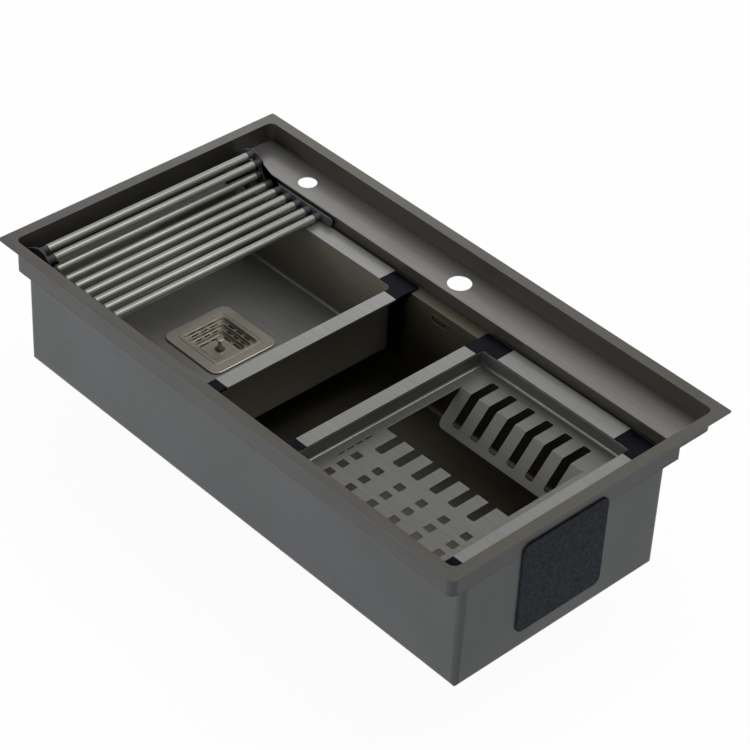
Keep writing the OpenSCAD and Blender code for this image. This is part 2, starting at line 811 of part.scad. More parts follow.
// Square strainer pressed in steps: two slotted steps and a slotted floor
module drain_strainer() {
  top_half = strainer_side / 2 - strainer_lip_w - strainer_play;
  r = strainer_r - strainer_play;
  color(bronze)
  difference() {
    union() {
      slab(centred(drain_x, drain_y, strainer_side), lip_low, bezel_top, r);
      for (k = [0 : 2])
        slab(centred(drain_x, drain_y, 2 * (top_half - k * strainer_step_w)),
             lip_low - (k + 1) * strainer_step_h, lip_low - k * strainer_step_h + cut / 2, r);
    }
    for (k = [0 : 2])
      slab(centred(drain_x, drain_y, 2 * (top_half - k * strainer_step_w - strainer_t)),
           lip_low - (k + 1) * strainer_step_h + strainer_t, bezel_top + cut, r - strainer_t);
    translate([drain_x, drain_y, 0]) {
      for (k = [0 : 1])
        side_slots(top_half - (k + 0.5) * strainer_step_w - strainer_t,
                   lip_low - (k + 1) * strainer_step_h - cut, strainer_t + 2 * cut, 3, 12 - 2 * k, 5);
      side_slots(top_half - 2 * strainer_step_w - 5, lip_low - 3 * strainer_step_h - cut,
                 strainer_t + 2 * cut, 2, 16, 5);
    }
  }
}

module strainer_knob() {
  z0 = strainer_floor + washer_t;
  top = bezel_top + 1.5;
  color(bronze)
  at_drain()
    rotate_extrude()
      polygon([[0, z0], [5, z0], [5, z0 + 1], [knob_stem_r, z0 + 4], [knob_stem_r - 0.6, top - 6],
               [knob_cap_r - 1, top - 3.5], [knob_cap_r, top - 2], [knob_cap_r - 1.2, top - 0.5], [0, top]]);
}

module strainer_knob_washer() {
  color(brown_rubber)
  at_drain()
    rotate_extrude()
      polygon([[0, strainer_floor], [7, strainer_floor], [7, strainer_floor + washer_t - 0.6],
               [6, strainer_floor + washer_t], [0, strainer_floor + washer_t]]);
}

// ---- dish tray ----

// Slot with rounded corners, w wide, from y0 to y1
module plate_slot(x, w, y0, y1, z0, z1) {
  slab([x - w / 2, x + w / 2, y0, y1], z0, z1, slot_end_r);
}

// The flap's own frame: origin on the underside of the fold, y back along the flap
module at_fold() {
  translate([0, fold_y, tray_z - insert_t]) rotate([flap_angle, 0, 0]) children();
}

// Draws children, laid out as [y, z] from the underside of the fold, along x from x0 to x1
module across(x0, x1) {
  translate([x0, fold_y, tray_z - insert_t]) rotate([90, 0, 90]) linear_extrude(x1 - x0) children();
}

// Section of the fold and the flap: round on top, sharp underneath
function fold_section() = concat(
  [[0, 0], [fold_lap, 0], [fold_lap, insert_t]],
  [for (k = [0 : fold_steps]) insert_t * [-sin(k * flap_angle / fold_steps), cos(k * flap_angle / fold_steps)]],
  [down_flap(flap_len, insert_t), down_flap(flap_len, 0)]);
function down_flap(along, up) = along * [-cos(flap_angle), -sin(flap_angle)] + up * [-sin(flap_angle), cos(flap_angle)];

module flap() {
  intersection() {
    across(window_x0, window_x1) polygon(fold_section());
    at_fold() slab([window_x0 + fold_relief, window_x1 - fold_relief, -flap_len, 3 * flap_corner_r],
                   -2 * cut, insert_t + 2 * cut, flap_corner_r);
  }
}

// Rear plate slots down the flap
module flap_slots() {
  for (i = [0 : slot_count - 1])
    at_fold() plate_slot(slot_x0 + i * slot_pitch, slot_w + fold_ease, -slot_flap, slot_past, -cut, insert_t + cut);
}

// Holes through the floor: plate slots, square holes and dashes
module tray_holes() {
  low = tray_z - insert_t - cut;
  high = tray_z + cut;
  for (i = [0 : slot_count - 1]) {
    x = slot_x0 + i * slot_pitch;
    plate_slot(x, slot_w, fold_y - slot_past, fold_y + slot_rear, low, high);
    plate_slot(x, slot_w, window_y - slot_front, window_y + 2 * slot_end_r, low, high);
  }
  for (i = [0 : hole_cols - 1])
    for (j = [0 : hole_rows - 1])
      slab(centred(tray_cx + (i - (hole_cols - 1) / 2) * hole_pitch_x,
                   tray_in[2] + hole_from_front + j * hole_pitch_y, hole_side),
           low, high, 1.5);
  for (i = [0 : dash_count - 1])
    translate([tray_in[0] + dash_from_wall - dash_w / 2, window_y - dash_from_window + i * dash_pitch, low])
      cube([dash_w, dash_len, high - low]);
}

// Folded tray: the plate slots run over the fold and down the flap cut from its floor
module dish_tray() {
  color(steel)
  difference() {
    union() {
      difference() {
        pan(tray_in, tray_z, ins_top - flange_t, tray_r, tray_r, insert_t);
        block([window_x0, window_x1, window_y, fold_y], tray_z - insert_t - cut, tray_z + cut);
      }
      insert_rim(tray_rim, tray_in, tray_r);
      difference() {
        flap();
        flap_slots();
      }
    }
    tray_holes();
  }
}

// ---- roll-up rack ----

module rack_tube(i) {
  at = tube_at(i);
  color(steel)
  translate([at[0], tube_y0, at[1]]) rotate([-90, 0, 0])
    difference() {
      cylinder(d = tube_d, h = tube_y1 - tube_y0);
      translate([0, 0, -cut]) cylinder(d = tube_d - 2 * tube_wall, h = tube_y1 - tube_y0 + 2 * cut);
    }
}

// Neck and plug that hold one end of a tube; side 1 is the rear end
module plug(at, side) {
  y = side > 0 ? rack_y1 - band_w : rack_y0 + band_w;
  translate([at[0], y, at[1]]) rotate([90 * side, 0, 0]) {
    translate([0, 0, -cut]) cylinder(r = neck_r, h = neck_len + cut);
    translate([0, 0, neck_len]) cylinder(r = plug_r, h = plug_len);
  }
}

// Straight stretch of band between two points [x, z], with square ends
module band_bar(a, b) {
  d = b - a;
  translate(a) rotate(atan2(d[1], d[0])) translate([0, -band_h / 2 + bead])
    square([norm(d), band_h - 2 * bead]);
}

module bead_at(at) {
  translate(at) circle(d = band_h);
}

// Stands a flat outline of the band up at the front or the rear end of the tubes
module as_band(side) {
  translate([0, side > 0 ? rack_y1 : rack_y0 + band_w, 0]) rotate([90, 0, 0]) linear_extrude(band_w) children();
}

// End strip of the stretch that stays put: flat, then curled over at its left end
module rack_strip(side) {
  first = roll_count + 1;
  last = tube_at(tube_count);
  over = (tube_at(tube_count - 1) + last) / 2 + curl_bulge;
  path = concat([for (i = [first : tube_count - 1]) tube_at(i)], [over, last],
                [last + curl_tab[0], last + curl_tab[0] + curl_tab[1]]);
  color(silicone) {
    as_band(side) {
      band_bar(path[0], path[0] + [tube_pitch / 2 - link_gap / 2, 0]);
      for (k = [1 : len(path) - 1])
        band_bar(path[k - 1], path[k]);
      for (at = path)
        bead_at(at);
    }
    for (i = [first : tube_count])
      plug(tube_at(i), side);
  }
}

// Pair of end pieces that carry one rolling tube
module rack_link(i) {
  at = tube_at(i);
  half = tube_pitch / 2 - link_gap / 2;
  reach = i == 1 ? tab_len : half;
  color(silicone)
  for (side = [-1, 1]) {
    as_band(side) {
      band_bar(at - [half, 0], at + [reach, 0]);
      bead_at(at);
      if (i == 1) bead_at(at + [reach, 0]);
    }
    plug(at, side);
  }
}

rim_frame();
tap_deck();
bowl();
end_pad(-1);  // sound_pad_left
end_pad(1);  // sound_pad_right
bottom_pads();  // sound_pads_bottom
overflow_bezel();
overflow_gasket();
overflow_box();
waste_body();
waste_gasket();
waste_slip_ring();
waste_locknut();
waste_basket();
waste_basket_knob();
waste_stopper();
tub();
tub_bracket(1, 1);  // tub_bracket_rear_right
tub_bracket(1, -1);  // tub_bracket_front_right
tub_bracket(-1, 1);  // tub_bracket_rear_left
tub_bracket(-1, -1);  // tub_bracket_front_left
drain_bezel_gasket();
drain_sump();
drain_clamp_gasket();
drain_clamp();
drain_clamp_screws();
drain_strainer();
strainer_knob();
strainer_knob_washer();
dish_tray();
tray_bracket(1, 1);  // tray_bracket_rear_right
tray_bracket(1, -1);  // tray_bracket_front_right
tray_bracket(-1, 1);  // tray_bracket_rear_left
tray_bracket(-1, -1);  // tray_bracket_front_left
rack_strip(1);  // rack_strip_rear
rack_strip(-1);  // rack_strip_front
rack_link(3);  // rack_link_3
rack_link(2);  // rack_link_2
rack_link(1);  // rack_link_1
rack_tube(1);  // rack_tube_1
rack_tube(2);  // rack_tube_2
rack_tube(3);  // rack_tube_3
rack_tube(4);  // rack_tube_4
rack_tube(5);  // rack_tube_5
rack_tube(6);  // rack_tube_6
rack_tube(7);  // rack_tube_7
rack_tube(8);  // rack_tube_8
rack_tube(9);  // rack_tube_9
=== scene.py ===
import json
from math import cos, pi, radians, sin

import bmesh
import bpy
from bpy.props import FloatProperty, FloatVectorProperty, IntProperty, PointerProperty
from mathutils import Matrix, Vector

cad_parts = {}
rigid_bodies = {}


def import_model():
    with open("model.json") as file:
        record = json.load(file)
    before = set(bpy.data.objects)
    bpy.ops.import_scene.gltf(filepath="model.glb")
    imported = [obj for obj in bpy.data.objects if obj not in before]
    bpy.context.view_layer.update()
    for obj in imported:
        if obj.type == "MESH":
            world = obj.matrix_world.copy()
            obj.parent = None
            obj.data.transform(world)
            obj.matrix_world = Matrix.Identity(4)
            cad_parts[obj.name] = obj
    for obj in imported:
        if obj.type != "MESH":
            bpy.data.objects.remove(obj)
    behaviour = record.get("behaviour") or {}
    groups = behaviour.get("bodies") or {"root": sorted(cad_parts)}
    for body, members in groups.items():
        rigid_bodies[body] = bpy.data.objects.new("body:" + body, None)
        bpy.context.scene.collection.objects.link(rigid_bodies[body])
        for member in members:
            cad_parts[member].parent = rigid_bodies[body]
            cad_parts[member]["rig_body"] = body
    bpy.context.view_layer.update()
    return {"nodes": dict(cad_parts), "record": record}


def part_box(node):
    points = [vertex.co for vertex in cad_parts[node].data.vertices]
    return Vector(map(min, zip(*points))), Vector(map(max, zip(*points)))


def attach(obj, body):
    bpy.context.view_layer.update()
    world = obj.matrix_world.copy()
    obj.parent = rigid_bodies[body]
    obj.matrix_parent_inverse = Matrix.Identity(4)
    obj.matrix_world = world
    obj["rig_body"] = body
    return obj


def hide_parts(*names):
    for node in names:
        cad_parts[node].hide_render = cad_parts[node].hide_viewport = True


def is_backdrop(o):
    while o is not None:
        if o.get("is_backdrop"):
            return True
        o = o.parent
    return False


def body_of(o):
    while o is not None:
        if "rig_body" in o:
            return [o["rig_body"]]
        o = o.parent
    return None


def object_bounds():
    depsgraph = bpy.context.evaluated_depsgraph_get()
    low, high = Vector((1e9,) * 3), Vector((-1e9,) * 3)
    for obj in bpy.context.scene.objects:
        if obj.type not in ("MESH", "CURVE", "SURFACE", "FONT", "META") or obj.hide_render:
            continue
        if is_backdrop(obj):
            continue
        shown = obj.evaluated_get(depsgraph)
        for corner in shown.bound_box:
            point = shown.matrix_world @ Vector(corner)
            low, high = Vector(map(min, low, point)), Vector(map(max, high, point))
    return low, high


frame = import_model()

bl_info = {
    "name": "Workstation Kitchen Sink",
    "version": (1, 0, 0),
    "blender": (4, 5, 0),
    "location": "View3D > Sidebar > Sink",
    "description": "Dresses the packed sink: coated steel, drain, tray, roll-up rack and sound pads",
    "category": "Add Mesh",
}


# ---- sizes and colours that a user would change ----

def length(name, default, high, about, low=0.0):
    return FloatProperty(name=name, description=about, default=default, min=low, max=high,
                         subtype="DISTANCE", unit="LENGTH", precision=5)


def colour(name, default, about):
    return FloatVectorProperty(name=name, description=about, default=default, size=3,
                               subtype="COLOR", min=0.0, max=1.0)


class SinkSizes(bpy.types.PropertyGroup):
    sheet_edge: length("Sheet edge", 0.0003, 0.0006, "Rounding of the cut edges of the steel sheet")
    rim_edge: length("Rim edge", 0.0005, 0.0009, "Rounding of the rim's edges")
    bracket_edge: length("Bracket edge", 0.0004, 0.0006, "Rounding of the moulded corner pieces")
    band_edge: length("Band edge", 0.0006, 0.0012, "Rounding of the rack's silicone band")
    bezel_edge: length("Bezel edge", 0.0012, 0.0018, "Rolled outer edge of the drain's bezel")
    strainer_edge: length("Strainer edge", 0.0007, 0.0008,
                          "Bend where the strainer's lip turns down")
    pad_edge: length("Pad edge", 0.0014, 0.002, "Rounding of the felt pads")
    tube_wall: length("Tube wall", 0.0008, 0.002, "Wall of a rack tube", 0.0005)
    tube_end: length("Tube end", 0.0009, 0.002, "Rounding of a rack tube's ends")
    tube_sides: IntProperty(name="Tube sides", description="Facets round a rack tube",
                            default=48, min=12, max=96)
    floor_drop: length("Floor drop", 0.0, 0.2, "Gap between the lowest point and the floor")


class SinkColours(bpy.types.PropertyGroup):
    rim: colour("Rim", (0.064, 0.061, 0.059), "Dark coat of the rim and its walls")
    deck: colour("Deck", (0.140, 0.137, 0.131), "Coat of the tap deck")
    tub: colour("Tub", (0.195, 0.193, 0.187), "Coat of the tub's rim and floor")
    # Painted reflection tint: the tub's walls are coloured olive, standing in for the brown-olive
    # reflections inside it
    tub_walls_painted_reflection: colour("Tub walls", (0.210, 0.198, 0.160), "Olive coat of the tub's walls")
    tray: colour("Tray", (0.163, 0.162, 0.155), "Coat of the dish tray's flanges")
    # Painted shade: the tray below its flanges is coloured darker than its flanges, standing in for
    # the shade inside it
    tray_floor_painted_shade: colour("Tray floor", (0.104, 0.103, 0.098),
                       "Coat of the dish tray below its flanges")
    bowl: colour("Bowl", (0.074, 0.068, 0.049), "Olive coat inside the bowl")
    undercoat: colour("Undercoat", (0.052, 0.053, 0.056), "Grey coat on the outside of the bowl")
    # Partly painted shade: an outer coat like the undercoat, made darker and more purple to stand in
    # for the shade under the rim
    skirt_coat_and_painted_shade: colour("Skirt", (0.046, 0.041, 0.045), "Grey coat on the outside of the upper walls")
    tube: colour("Tubes", (0.200, 0.205, 0.183), "Coat of the rack tubes")
    bronze: colour("Bronze", (0.360, 0.332, 0.285), "Warm coat of the drain")
    # Painted shade: the sump under the strainer is coloured dark brown, standing in for the shade
    # there
    sump: colour("Sump", (0.040, 0.028, 0.018), "Brown shade of the sump under the strainer")
    plastic: colour("Corner pieces", (0.0012, 0.0015, 0.0034), "Black plastic of the corner pieces")
    silicone: colour("Silicone", (0.022, 0.020, 0.024),
                     "Dark grey silicone of the rack's end strips")
    felt: colour("Felt", (0.027, 0.030, 0.036), "Felt of the sound pads")
    rubber: colour("Rubber", (0.008, 0.008, 0.008), "Black rubber of the gaskets")
    washer: colour("Washer", (0.055, 0.015, 0.010), "Brown rubber at the strainer's knob")
    grey_plastic: colour("Waste plastic", (0.30, 0.30, 0.31), "Grey plastic under the bowl")


# ---- materials ----

MIX_COLOURS = (0, 6, 7)             # a Mix node's sockets for its factor and two colours
MIX_NUMBERS = (0, 2, 3)             # the same for its factor and two numbers
FINE, LONG = 900.0, 7.0             # cells in a metre across brushed lines and along them
GRAIN = {"x": (LONG, FINE, FINE), "y": (FINE, LONG, FINE)}
END_ON = 0.7                        # a face turned this far to its grain is brushed the other way
UPWARD, DOWNWARD = 0.5, -0.5        # upright part of the normal of faces that look up or down
BAND_FADE, BAND_EDGE = 0.012, 0.001     # depth over which a band starts below and stops above
OLIVE_SHARES = (0.95, 0.95, 0.78)   # of the rim's red, green and blue
COAT_METAL = 0.1                    # metal share of the smooth undercoat
RIM_PLATE = -0.0028                 # the rim frame above this height is its flat plate
BOWL_TOP = 0.0                      # no part of the bowl is above this height
WHITE = (1.0, 1.0, 1.0, 1.0)
FINISHES = {}                       # every material made here, under the name it was asked for


class Finish:
    """One procedural material, put together node by node."""

    def __init__(self, name):
        self.material = bpy.data.materials.new(name)
        self.material.use_nodes = True
        self.tree = self.material.node_tree
        self.shader = self.tree.nodes["Principled BSDF"]
        FINISHES[name] = self.material

    def add(self, kind, settings=None, **inputs):
        made = self.tree.nodes.new(kind)
        for key, value in (settings or {}).items():
            setattr(made, key, value)
        for key, value in inputs.items():
            self.feed(made.inputs[key.replace("_", " ")], value)
        return made

    def feed(self, socket, value):
        if isinstance(value, bpy.types.NodeSocket):
            self.tree.links.new(value, socket)
        else:
            socket.default_value = value

    def set(self, **inputs):
        for key, value in inputs.items():
            self.feed(self.shader.inputs[key.replace("_", " ")], value)

    def place(self):
        return self.add("ShaderNodeTexCoord").outputs["Object"]

    def normal(self):
        return self.add("ShaderNodeNewGeometry").outputs["Normal"]

    def split(self, vector):
        return self.add("ShaderNodeSeparateXYZ", Vector=vector).outputs

    def noise(self, cells, detail=3.0, rough=0.5):
        """Noise with so many cells in a metre, the same each way or in x, y and z"""
        stretch = cells if isinstance(cells, tuple) else (cells, cells, cells)
        at = self.add("ShaderNodeMapping", Vector=self.place(), Scale=stretch).outputs["Vector"]
        made = self.add("ShaderNodeTexNoise", Vector=at, Scale=1.0, Detail=detail, Roughness=rough)
        return made.outputs["Fac"]

    def span(self, value, first, last, start=0.3, end=0.7):
        """Runs from first to last while the value runs from start to end"""
        made = self.add("ShaderNodeMapRange", From_Min=start, From_Max=end,
                        To_Min=first, To_Max=last)
        self.feed(made.inputs["Value"], value)
        return made.outputs["Result"]

    def mixed(self, kind, sockets, values):
        made = self.add("ShaderNodeMix", {"data_type": kind})
        for socket, value in zip(sockets, values):
            self.feed(made.inputs[socket], value)
        return made

    def mix(self, factor, a, b):
        return self.mixed("RGBA", MIX_COLOURS, (factor, a, b)).outputs[2]

    def blend(self, factor, a, b):
        return self.mixed("FLOAT", MIX_NUMBERS, (factor, a, b)).outputs[0]

    def math(self, how, a, b=0.0):
        made = self.add("ShaderNodeMath", {"operation": how})
        self.feed(made.inputs[0], a)
        self.feed(made.inputs[1], b)
        return made.outputs[0]

    def vector(self, how, a, b):
        made = self.add("ShaderNodeVectorMath", {"operation": how})
        self.feed(made.inputs[0], a)
        self.feed(made.inputs[1], b)
        return made.outputs

    def scaled(self, colour, level):
        made = self.add("ShaderNodeVectorMath", {"operation": "SCALE"}, Scale=level)
        self.feed(made.inputs[0], colour)
        return made.outputs["Vector"]

    def inward(self, centre, above):
        """1 on faces that look up or towards the upright line through the centre, and on all faces
        above a height, else 0"""
        normal = self.normal()
        lean = self.split(normal)["Z"]
        offset = self.vector("SUBTRACT", self.place(), centre)["Vector"]
        level = self.vector("MULTIPLY", offset, (1.0, 1.0, 0.0))["Vector"]
        away = self.vector("DOT_PRODUCT", level, normal)["Value"]
        wall = self.math("MULTIPLY", self.math("LESS_THAN", away, 0.0),
                         self.math("GREATER_THAN", lean, DOWNWARD))
        top = self.math("MAXIMUM", self.math("GREATER_THAN", lean, UPWARD),
                        self.math("GREATER_THAN", self.split(self.place())["Z"], above))
        return self.math("MAXIMUM", wall, top)

    def shine(self, level):
        self.shader.inputs["Specular IOR Level"].default_value = level

    def bump(self, height, depth, strength=0.5):
        made = self.add("ShaderNodeBump", Height=height, Distance=depth, Strength=strength)
        self.set(Normal=made.outputs["Normal"])


def rgba(c, scale=1.0):
    return (c[0] * scale, c[1] * scale, c[2] * scale, 1.0)


def coated_steel(name, tint, rough=0.34, metal=0.6, grain="x", shine=0.3, lined=0.1, relief=0.2,
                 warm=None, walls=None, outside=None):
    """Satin coat over brushed steel: fine lines one way, faint clouds, softly varied gloss.

    With walls, two heights and a tint, the tint shows between the heights: painted shade on the tray
    and the sump, a painted olive reflection tint on the tub's walls. With outside, a centre, a
    height and a tint, faces below the height that look down or away from the centre wear the tint as
    a smooth undercoat, darkened with painted shade on the rim's skirt."""
    f = Finish(name)
    turned = f.math("GREATER_THAN", f.math("ABSOLUTE", f.split(f.normal())[grain.upper()]), END_ON)
    crossing = "y" if grain == "x" else "x"
    brush = f.blend(turned, f.noise(GRAIN[grain], detail=2.0, rough=0.6),
                    f.noise(GRAIN[crossing], detail=2.0, rough=0.6))
    cloud = f.noise(6.0, detail=4.0, rough=0.55)
    drift = f.noise(3.1, detail=2.0)
    tone = f.mix(f.span(drift, 0.0, 1.0), rgba(tint), rgba(warm or tint))
    share = metal
    if walls:
        low, high, shade = walls
        z = f.split(f.place())["Z"]
        band = f.math("MINIMUM", f.span(z, 0.0, 1.0, start=low, end=low + BAND_FADE),
                      f.span(z, 1.0, 0.0, start=high - BAND_EDGE, end=high))
        tone = f.mix(band, tone, rgba(shade))
    if outside:
        # coat is the bowl's undercoat, and on the rim the skirt's tint with painted shade
        centre, above, coat = outside
        within = f.inward(centre, above)
        greener = (coat[0] * 0.98, coat[1] * 1.08, coat[2] * 1.04)
        cool = f.mix(f.span(drift, 0.0, 1.0), rgba(coat), rgba(greener))
        tone = f.mix(within, cool, tone)
        share = f.blend(within, COAT_METAL, metal)
    level = f.math("MULTIPLY", f.span(brush, 1.0 - lined, 1.0 + lined, start=0.35, end=0.65),
                   f.span(cloud, 1.04, 0.84))
    gloss = f.math("ADD", f.span(cloud, rough - 0.03, rough + 0.04), f.span(brush, -0.02, 0.02))
    f.set(Base_Color=f.scaled(tone, level), Metallic=share, Roughness=gloss)
    f.shine(shine)
    f.bump(brush, depth=0.00002, strength=relief)


def moulded_plastic(name, tint, rough=0.42, shine=0.5):
    """Moulded plastic with a fine spark-eroded skin."""
    f = Finish(name)
    cloud = f.noise(40.0, detail=2.0)
    f.set(Base_Color=f.mix(f.span(cloud, 0.0, 1.0), rgba(tint, 0.8), rgba(tint, 1.5)), Metallic=0.0,
          Roughness=f.span(cloud, rough - 0.05, rough + 0.06))
    f.shine(shine)
    f.bump(f.noise(2200.0, detail=2.0), depth=0.00004, strength=0.4)


def soft_rubber(name, tint, rough=0.62, shine=0.3):
    """Silicone or rubber: matt, a little dusty."""
    f = Finish(name)
    dust = f.noise(90.0, detail=4.0)
    f.set(Base_Color=f.mix(f.span(dust, 0.0, 1.0), rgba(tint, 0.85), rgba(tint, 1.3)), Metallic=0.0,
          Roughness=f.span(dust, rough - 0.06, rough + 0.08))
    f.shine(shine)
    f.bump(f.noise(1500.0, detail=2.0), depth=0.00004, strength=0.35)


def pressed_felt(name, tint):
    """Pressed felt: mottled fibres and no gloss."""
    f = Finish(name)
    clumps = f.noise(210.0, detail=5.0, rough=0.65)
    fibres = f.noise((1400.0, 1400.0, 500.0), rough=0.6)
    shade = f.blend(0.35, clumps, fibres)
    mottle = f.span(shade, 0.0, 1.0, start=0.38, end=0.62)
    f.set(Base_Color=f.mix(mottle, rgba(tint, 0.6), rgba(tint, 1.6)), Metallic=0.0, Roughness=0.95)
    f.shine(0.08)
    f.bump(shade, depth=0.0005, strength=0.8)


def band(node, above, below, tint):
    """Heights from above a node's lowest point to below its highest one, with the tint between.
    A start below the node leaves its floor in the band too."""
    low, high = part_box(node)
    return low.z + above, high.z - below, tint


def make_finishes(colours):
    """Makes every material once. Those of the record's slots have the slot's name."""
    centre = middle("bowl")[0]
    olive = [c * share for c, share in zip(colours.rim, OLIVE_SHARES)]
    # The rim's skirt wears its outer coat with painted shade under the rim
    coated_steel("rim_steel_and_painted_skirt_shade", colours.rim, warm=olive,
                 outside=(centre, RIM_PLATE, colours.skirt_coat_and_painted_shade))
    coated_steel("deck_steel", colours.deck)
    # The tub's walls, between its floor and flange, wear a painted olive reflection tint
    coated_steel("tub_steel_and_painted_wall_reflection", colours.tub,
                 walls=band("tub", above=0.004, below=0.0045, tint=colours.tub_walls_painted_reflection))
    # The tray's floor and walls below its flanges wear painted shade, a darker tint than the flanges
    coated_steel("tray_steel_and_painted_floor_shade", colours.tray,
                 walls=band("dish_tray", above=-0.02, below=0.004, tint=colours.tray_floor_painted_shade))
    coated_steel("gunmetal_steel", colours.tray)
    coated_steel("slot_steel", colours.bowl)
    coated_steel("bowl_steel", colours.bowl, rough=0.36,
                 outside=(centre, BOWL_TOP, colours.undercoat))
    bronze = {"tint": colours.bronze, "rough": 0.30, "metal": 0.8, "lined": 0.04, "relief": 0.03}
    coated_steel("bronze_steel", **bronze)
    # The drain's sump below its bezel top wears painted shade, dark brown
    coated_steel("sump_steel_and_painted_shade", **bronze,
                 walls=band("drain_sump", above=-0.02, below=0.0022, tint=colours.sump))
    coated_steel("tube_steel", colours.tube, rough=0.36, grain="y")
    moulded_plastic("black_plastic", colours.plastic, rough=0.3, shine=0.03)
    moulded_plastic("grey_plastic", colours.grey_plastic, rough=0.38)
    soft_rubber("grey_silicone", colours.silicone)
    soft_rubber("black_rubber", colours.rubber, rough=0.55)
    soft_rubber("red_rubber", colours.washer, rough=0.5)
    pressed_felt("felt", colours.felt)


SLOT_OF = {s["node"]: s["material_slot"] for s in frame["record"]["subparts"]}
# Nodes that wear a finish of their own; the others wear the one named after their slot
OWN_FINISH = {
    "rim_frame": "rim_steel_and_painted_skirt_shade",
    "tap_deck": "deck_steel",
    "tub": "tub_steel_and_painted_wall_reflection",
    "overflow_bezel": "slot_steel",
    "drain_sump": "sump_steel_and_painted_shade",
    "dish_tray": "tray_steel_and_painted_floor_shade",
}


def dress(obj, node):
    obj.data.materials.clear()
    obj.data.materials.append(FINISHES[OWN_FINISH.get(node, SLOT_OF[node])])


# ---- mesh helpers ----

MERGE_GAP = 2e-6        # a CAD node's loose corners closer than this are one
SEAM_GAP = 1e-6         # the same for the seam and ends of a spun skin
FLAT_ANGLE = 0.5        # degrees below which two faces are one


def finished(name, bm, node, smooth=35.0):
    """Turns a bmesh into a piece that stands for one CAD node."""
    mesh = bpy.data.meshes.new(name)
    bm.to_mesh(mesh)
    bm.free()
    obj = bpy.data.objects.new(name, mesh)
    bpy.context.scene.collection.objects.link(obj)
    for face in mesh.polygons:
        face.use_smooth = True
    mesh.set_sharp_from_angle(angle=radians(smooth))
    dress(obj, node)
    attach(obj, body_of(frame["nodes"][node])[0])
    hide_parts(node)
    return obj


def sharp_edges(bm, angle):
    return [e for e in bm.edges
            if len(e.link_faces) == 2 and e.calc_face_angle(0.0) > radians(angle)]


def round_off(bm, radius, segments, edges):
    bmesh.ops.bevel(bm, geom=edges, offset=radius, offset_type="OFFSET", segments=segments,
                    profile=0.5, affect="EDGES", clamp_overlap=False, material=-1)


def softened(node, edge, segments=2, angle=28.0, rolled=None):
    """Copies a CAD node, merges it and rounds its sharp edges, as a maker breaks those of sheet.

    With rolled, a radius and a test of an edge's middle, the edges that pass are rounded more."""
    bm = bmesh.new()
    bm.from_mesh(frame["nodes"][node].data)
    bmesh.ops.remove_doubles(bm, verts=bm.verts, dist=MERGE_GAP)
    bmesh.ops.dissolve_limit(bm, angle_limit=radians(FLAT_ANGLE), verts=bm.verts, edges=bm.edges)
    if rolled:
        radius, chosen = rolled
        edges = [e for e in sharp_edges(bm, angle) if chosen((e.verts[0].co + e.verts[1].co) / 2)]
        round_off(bm, radius, 4, edges)
    round_off(bm, edge, segments, sharp_edges(bm, angle))
    obj = finished(node + "_finished", bm, node)
    even = obj.modifiers.new("even_shading", "WEIGHTED_NORMAL")
    even.keep_sharp = True
    return obj


def spun(bm, profile, centre, axis, steps):
    """Revolves a profile of points about an axis into a closed skin."""
    verts = [bm.verts.new(p) for p in profile]
    edges = [bm.edges.new(pair) for pair in zip(verts, verts[1:])]
    bmesh.ops.spin(bm, geom=verts + edges, cent=centre, axis=axis, angle=2 * pi, steps=steps,
                   use_merge=True)
    bmesh.ops.remove_doubles(bm, verts=bm.verts, dist=SEAM_GAP)
    bmesh.ops.recalc_face_normals(bm, faces=bm.faces)


def middle(node):
    low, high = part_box(node)
    return (low + high) / 2, low, high


# ---- operators ----

class SINK_OT_shell(bpy.types.Operator):
    """Rim, tap deck and bowl with their edges broken"""
    bl_idname = "sink.shell"
    bl_label = "Shell"

    def execute(self, context):
        sizes = context.scene.sink_sizes
        softened("rim_frame", sizes.rim_edge)
        softened("tap_deck", sizes.sheet_edge)
        softened("bowl", sizes.sheet_edge)
        return {"FINISHED"}


class SINK_OT_pads(bpy.types.Operator):
    """Felt sound pads on the ends and the underside"""
    bl_idname = "sink.pads"
    bl_label = "Sound pads"

    def execute(self, context):
        for node in ("sound_pad_left", "sound_pad_right", "sound_pads_bottom"):
            softened(node, context.scene.sink_sizes.pad_edge, 3)
        return {"FINISHED"}


class SINK_OT_overflow(bpy.types.Operator):
    """Overflow bezel, gasket and box"""
    bl_idname = "sink.overflow"
    bl_label = "Overflow"

    def execute(self, context):
        for node in ("overflow_bezel", "overflow_gasket", "overflow_box"):
            softened(node, context.scene.sink_sizes.sheet_edge)
        return {"FINISHED"}


class SINK_OT_waste(bpy.types.Operator):
    """Waste under the bowl with its gasket, ring, nut and basket"""
    bl_idname = "sink.waste"
    bl_label = "Waste"

    def execute(self, context):
        for node in ("waste_body", "waste_gasket", "waste_slip_ring", "waste_locknut",
                     "waste_basket", "waste_basket_knob", "waste_stopper"):
            softened(node, context.scene.sink_sizes.sheet_edge)
        return {"FINISHED"}


class SINK_OT_tub(bpy.types.Operator):
    """Lift-out tub with its turned rim"""
    bl_idname = "sink.tub"
    bl_label = "Tub"

    def execute(self, context):
        softened("tub", context.scene.sink_sizes.sheet_edge)
        return {"FINISHED"}


